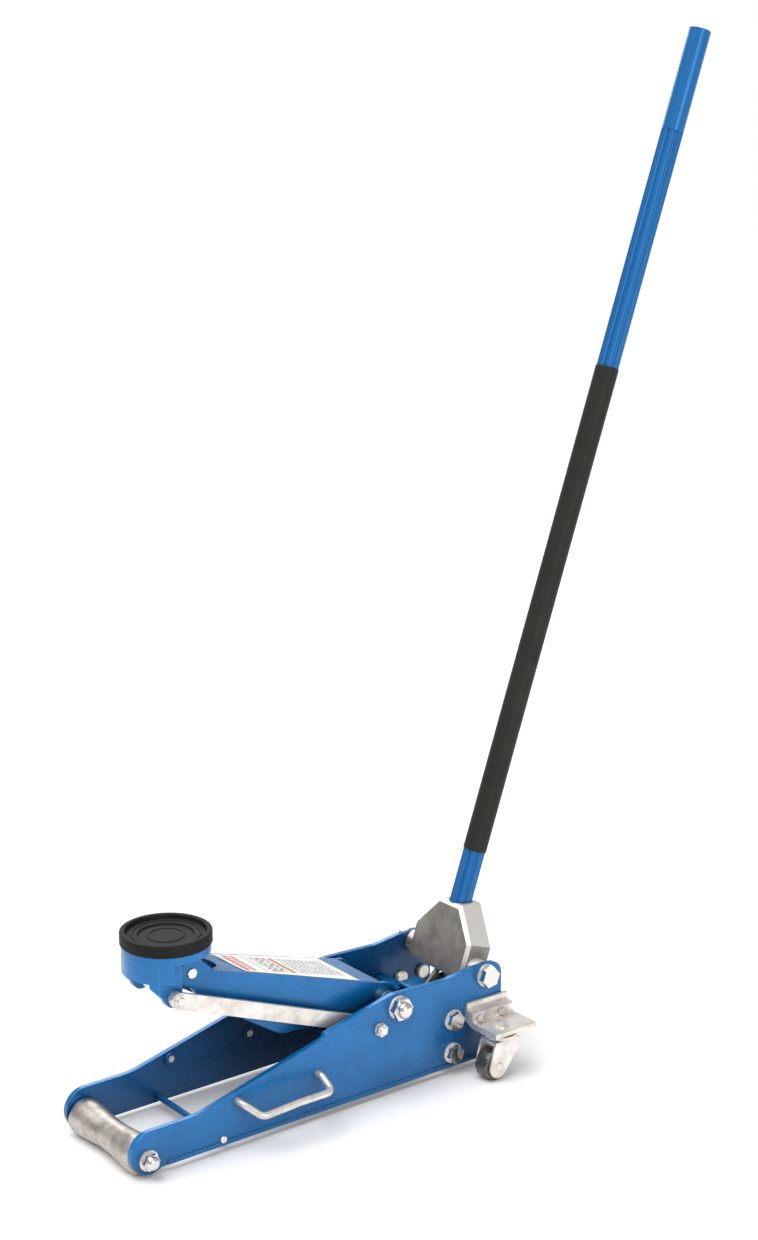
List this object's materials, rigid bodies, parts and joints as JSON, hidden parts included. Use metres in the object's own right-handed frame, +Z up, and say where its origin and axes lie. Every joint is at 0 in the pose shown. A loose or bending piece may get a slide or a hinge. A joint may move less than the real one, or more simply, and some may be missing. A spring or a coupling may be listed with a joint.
{
  "type": "floor jack",
  "caption": "Low-profile aluminium hydraulic floor jack with lift arm, levelled saddle, pump handle, front roller and rear swivel casters.",
  "frame": {"origin": "on the floor under the middle of the jack's overall box", "axes": "+Z up, +X towards the handle, -Y the jack's left side"},
  "size_m": [0.8686, 0.255, 1.1775],
  "materials": {
    "blue_paint": "gloss metallic-blue enamel",
    "blue_anodised": "blue anodised, fluted",
    "cast_steel": "cast and shot-blasted",
    "foam": "closed-cell foam sleeve",
    "pad_rubber": "moulded rubber",
    "roller_aluminium": "turned",
    "zinc_steel": "bright zinc plated",
    "caster_iron": "dark turned",
    "chrome_steel": "polished",
    "label_film": "printed film"
  },
  "bodies": {
    "chassis": {"side_plate_left": "blue_paint", "side_plate_right": "blue_paint", "front_axle": "chrome_steel", "front_axle_nuts": "chrome_steel", "front_axle_washers": "zinc_steel", "tie_rod": "blue_paint", "tie_rod_screws": "zinc_steel", "carry_handle_left": "zinc_steel", "carry_handle_right": "zinc_steel", "carry_handle_nuts": "zinc_steel", "caster_bracket_left": "zinc_steel", "caster_bracket_right": "zinc_steel", "caster_bracket_bolts": "zinc_steel", "caster_bracket_nuts": "zinc_steel", "caster_stems": "zinc_steel", "caster_nuts": "zinc_steel", "power_unit": "blue_paint", "power_unit_bolts": "chrome_steel", "power_unit_washers": "zinc_steel", "cylinder": "blue_paint", "cylinder_gland": "blue_paint", "arm_pivot_shaft": "chrome_steel", "arm_pivot_nuts": "chrome_steel", "arm_pivot_washers": "zinc_steel", "arm_pivot_spacers": "blue_paint", "link_pivot_bolts": "zinc_steel", "link_pivot_nuts": "zinc_steel", "socket_washers": "zinc_steel", "socket_bolts": "chrome_steel", "return_springs": "zinc_steel", "pump_springs": "zinc_steel"},
    "front_roller": {"front_roller": "roller_aluminium"},
    "lift_arm": {"lift_arm": "blue_paint", "arm_sleeve": "chrome_steel", "crank_plates": "blue_paint", "crank_pin": "chrome_steel", "saddle_pin": "chrome_steel", "arm_label": "label_film"},
    "crank_roller": {"crank_roller": "chrome_steel"},
    "link_left": {"link_bar_left": "zinc_steel"},
    "link_right": {"link_bar_right": "zinc_steel"},
    "saddle": {"saddle_bracket": "blue_paint", "saddle_pad": "pad_rubber", "link_rod": "chrome_steel", "link_spacers": "zinc_steel", "link_clips": "zinc_steel"},
    "ram": {"ram": "chrome_steel"},
    "handle_socket": {"handle_socket": "cast_steel"},
    "handle": {"handle_lower_tube": "blue_anodised", "handle_upper_tube": "blue_anodised", "foam_sleeve": "foam", "release_yoke": "chrome_steel"},
    "release_spindle": {"release_spindle": "chrome_steel"},
    "pump": {"pump_pistons": "chrome_steel"},
    "caster_left": {"caster_fork_left": "zinc_steel", "caster_axle_left": "zinc_steel"},
    "caster_right": {"caster_fork_right": "zinc_steel", "caster_axle_right": "zinc_steel"},
    "caster_wheel_left": {"caster_wheel_left": "caster_iron"},
    "caster_wheel_right": {"caster_wheel_right": "caster_iron"}
  },
  "joints": [
    {"name": "roller_spin", "type": "hinge", "parent": "chassis", "child": "front_roller", "pos_m": [-0.4134, 0, 0.0206], "axis": [0, 1, 0], "continuous": true},
    {"name": "arm_lift", "type": "hinge", "parent": "chassis", "child": "lift_arm", "pos_m": [-0.0797, 0, 0.1033], "axis": [0, 1, 0], "range_deg": [-31.4, 29.6], "deforming": ["return_springs"]},
    {"name": "crank_roller_spin", "type": "hinge", "parent": "lift_arm", "child": "crank_roller", "pos_m": [-0.1107, 0, 0.0449], "axis": [0, 1, 0], "continuous": true},
    {"name": "link_left_swing", "type": "hinge", "parent": "chassis", "child": "link_left", "pos_m": [-0.1059, 0, 0.0837], "axis": [0, 1, 0], "range_deg": [-31.4, 29.6]},
    {"name": "link_right_swing", "type": "hinge", "parent": "chassis", "child": "link_right", "pos_m": [-0.1059, 0, 0.0837], "axis": [0, 1, 0], "range_deg": [-31.4, 29.6]},
    {"name": "saddle_level", "type": "hinge", "parent": "lift_arm", "child": "saddle", "pos_m": [-0.3289, 0, 0.196], "axis": [0, 1, 0], "range_deg": [-29.6, 31.4]},
    {"name": "ram_stroke", "type": "slide", "parent": "chassis", "child": "ram", "axis": [-0.9903, 0, 0.1392], "range_m": [-0.0327, 0.0308]},
    {"name": "handle_pump", "type": "hinge", "parent": "chassis", "child": "handle_socket", "pos_m": [0.0494, 0, 0.1085], "axis": [0, 1, 0], "range_deg": [0, 45], "deforming": ["pump_springs"]},
    {"name": "handle_twist", "type": "hinge", "parent": "handle_socket", "child": "handle", "pos_m": [0.04657, 0, 0.1095], "axis": [0.3328, 0, 0.943], "range_deg": [0, 180]},
    {"name": "release_turn", "type": "hinge", "parent": "chassis", "child": "release_spindle", "pos_m": [0.0494, 0, 0.1085], "axis": [-0.7549, 0, -0.6559], "range_deg": [-180, 0]},
    {"name": "pump_stroke", "type": "slide", "parent": "chassis", "child": "pump", "axis": [-1, 0, 0], "range_m": [0, 0.027], "deforming": ["pump_springs"]},
    {"name": "caster_swivel_left", "type": "hinge", "parent": "chassis", "child": "caster_left", "pos_m": [0.0406, -0.108, 0.04], "axis": [0, 0, 1], "continuous": true},
    {"name": "caster_swivel_right", "type": "hinge", "parent": "chassis", "child": "caster_right", "pos_m": [0.0406, 0.108, 0.04], "axis": [0, 0, 1], "continuous": true},
    {"name": "caster_roll_left", "type": "hinge", "parent": "caster_left", "child": "caster_wheel_left", "pos_m": [0.0281, -0.108, 0.018], "axis": [0, 1, 0], "continuous": true},
    {"name": "caster_roll_right", "type": "hinge", "parent": "caster_right", "child": "caster_wheel_right", "pos_m": [0.0281, 0.108, 0.018], "axis": [0, 1, 0], "continuous": true}
  ],
  "couplings": [
    {"joint": "link_left_swing", "follows": "arm_lift", "ratio": 1},
    {"joint": "link_right_swing", "follows": "arm_lift", "ratio": 1},
    {"joint": "saddle_level", "follows": "arm_lift", "ratio": -1},
    {"joint": "ram_stroke", "follows": "arm_lift", "m_per_rad": 0.0595},
    {"joint": "release_turn", "follows": "handle_twist", "ratio": -1},
    {"joint": "pump_stroke", "follows": "handle_pump", "m_per_rad": 0.0342}
  ]
}
